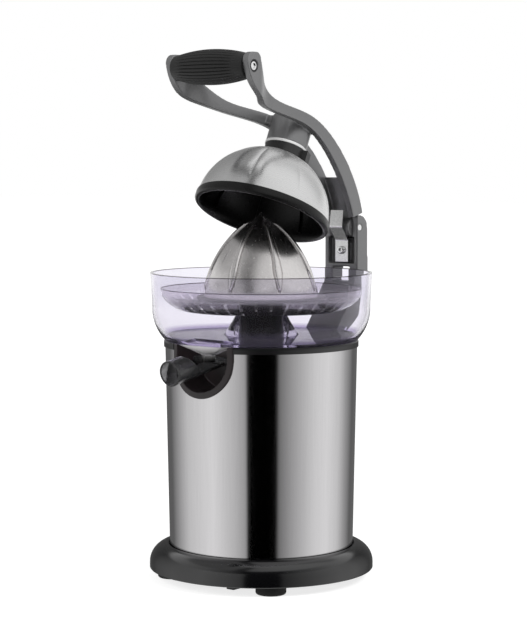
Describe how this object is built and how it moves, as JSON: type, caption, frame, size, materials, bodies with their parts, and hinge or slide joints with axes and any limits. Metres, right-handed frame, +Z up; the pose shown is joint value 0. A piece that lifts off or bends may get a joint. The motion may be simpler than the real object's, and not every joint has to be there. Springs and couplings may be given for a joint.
{
  "type": "electric citrus juicer",
  "caption": "Upright electric citrus juicer with a steel drum body, clear juice bowl, ribbed reamer, flip spout and a lever arm with a steel press dome.",
  "frame": {"origin": "middle of the part's box on the surface it stands on; the reamer's axis is 5.1 mm ahead of it along -Y", "axes": "+Z up along the reamer, -Y the way the spout points, +Y towards the arm's hinge post"},
  "size_m": [0.2026, 0.264, 0.4732],
  "materials": {
    "rubber_feet": "matt black rubber",
    "base_ring": "black moulded plastic, satin gloss",
    "cord_inlet": "matt black rubber",
    "bottom_cover": "black moulded plastic, fine grain",
    "bottom_cover_screws": "zinc plated",
    "steel_shell": "rolled stainless steel, soft mirror",
    "top_collar": "black moulded plastic",
    "tie_rods": "zinc plated",
    "shaft_bush": "sintered bronze",
    "turret_seal": "black silicone",
    "spout_frame": "dark moulded plastic",
    "spout_pin": "plain",
    "spout": "dark moulded plastic, smooth",
    "juice_bowl": "clear moulding with a faint violet tint",
    "strainer": "clear moulding with a faint violet tint",
    "reamer_cap": "polished stainless steel",
    "reamer_core": "black moulded plastic",
    "drive_shaft": "ground steel",
    "return_spring": "spring steel",
    "micro_switch": "plain",
    "switch_plunger": "plain",
    "motor_pinion": "hardened steel",
    "idler_gear": "natural acetal",
    "output_gear": "natural acetal",
    "gear_tray": "glass-filled plastic",
    "gear_cover": "glass-filled plastic",
    "gear_case_screws": "zinc plated",
    "idler_axle": "ground steel",
    "motor_stator": "stacked laminations",
    "field_coils": "enamelled winding",
    "armature": "stacked laminations",
    "commutator": "turned segments",
    "motor_shaft": "ground steel",
    "motor_bearings": "plain",
    "cooling_fan": "plain",
    "motor_lower_bracket": "glass-filled plastic",
    "carbon_brushes": "carbon",
    "motor_screws": "zinc plated",
    "rear_post": "satin dark grey coat on a casting",
    "post_screws": "zinc plated",
    "hinge_pin": "polished",
    "leaf_spring": "bright spring steel",
    "leaf_spring_screw": "polished",
    "press_arm": "satin dark grey coat on a casting",
    "grip": "fluted black rubber",
    "grip_rod": "plain",
    "grip_screws": "polished",
    "dome_shell": "drawn stainless steel, satin",
    "dome_liner": "black moulded plastic",
    "dome_neck": "black moulded plastic",
    "neck_ring": "polished",
    "dome_bolt": "zinc plated"
  },
  "bodies": {
    "housing": {"base_ring": "base_ring", "bottom_cover": "bottom_cover", "rubber_feet": "rubber_feet", "bottom_cover_screws": "bottom_cover_screws", "cord_inlet": "cord_inlet", "steel_shell": "steel_shell", "top_collar": "top_collar", "tie_rods": "tie_rods", "shaft_bush": "shaft_bush", "turret_seal": "turret_seal", "spout_frame": "spout_frame", "spout_pin": "spout_pin", "juice_bowl": "juice_bowl", "strainer": "strainer", "return_spring": "return_spring", "micro_switch": "micro_switch", "gear_tray": "gear_tray", "gear_cover": "gear_cover", "gear_case_screws": "gear_case_screws", "idler_axle": "idler_axle", "motor_stator": "motor_stator", "field_coils": "field_coils", "motor_bearings": "motor_bearings", "motor_lower_bracket": "motor_lower_bracket", "carbon_brushes": "carbon_brushes", "motor_screws": "motor_screws", "rear_post": "rear_post", "post_screws": "post_screws", "hinge_pin": "hinge_pin", "leaf_spring": "leaf_spring", "leaf_spring_screw": "leaf_spring_screw"},
    "rotor": {"armature": "armature", "commutator": "commutator", "motor_shaft": "motor_shaft", "cooling_fan": "cooling_fan", "motor_pinion": "motor_pinion"},
    "idler": {"idler_gear": "idler_gear"},
    "output": {"output_gear": "output_gear"},
    "reamer": {"drive_shaft": "drive_shaft", "reamer_core": "reamer_core", "reamer_cap": "reamer_cap"},
    "spout": {"spout": "spout"},
    "switch": {"switch_plunger": "switch_plunger"},
    "arm": {"press_arm": "press_arm", "grip": "grip", "grip_rod": "grip_rod", "grip_screws": "grip_screws", "dome_shell": "dome_shell", "dome_liner": "dome_liner", "dome_neck": "dome_neck", "neck_ring": "neck_ring", "dome_bolt": "dome_bolt"}
  },
  "joints": [
    {"name": "press_arm_hinge", "type": "hinge", "parent": "housing", "child": "arm", "pos_m": [0, 0.1189, 0.3135], "axis": [1, 0, 0], "range_deg": [0, 22]},
    {"name": "reamer_spin", "type": "hinge", "parent": "housing", "child": "output", "pos_m": [0, -0.0051, 0.19], "axis": [0, 0, 1], "continuous": true},
    {"name": "reamer_press", "type": "slide", "parent": "output", "child": "reamer", "axis": [0, 0, -1], "range_m": [0, 0.003], "stiffness_N_per_m": 1500, "springref_m": -0.006, "deforming": ["return_spring"]},
    {"name": "idler_spin", "type": "hinge", "parent": "housing", "child": "idler", "pos_m": [0, 0.0273, 0.18], "axis": [0, 0, 1], "continuous": true},
    {"name": "motor_spin", "type": "hinge", "parent": "housing", "child": "rotor", "pos_m": [0, -0.0051, 0.12], "axis": [0, 0, 1], "continuous": true},
    {"name": "switch_press", "type": "slide", "parent": "housing", "child": "switch", "axis": [0, 0, -1], "range_m": [0, 0.003]},
    {"name": "spout_flip", "type": "hinge", "parent": "housing", "child": "spout", "pos_m": [0, -0.0638, 0.2004], "axis": [-1, 0, 0], "range_deg": [0, 16]}
  ],
  "couplings": [
    {"joint": "idler_spin", "follows": "reamer_spin", "ratio": -3.5},
    {"joint": "motor_spin", "follows": "reamer_spin", "ratio": 17.5},
    {"joint": "switch_press", "follows": "reamer_press", "ratio": 1}
  ]
}
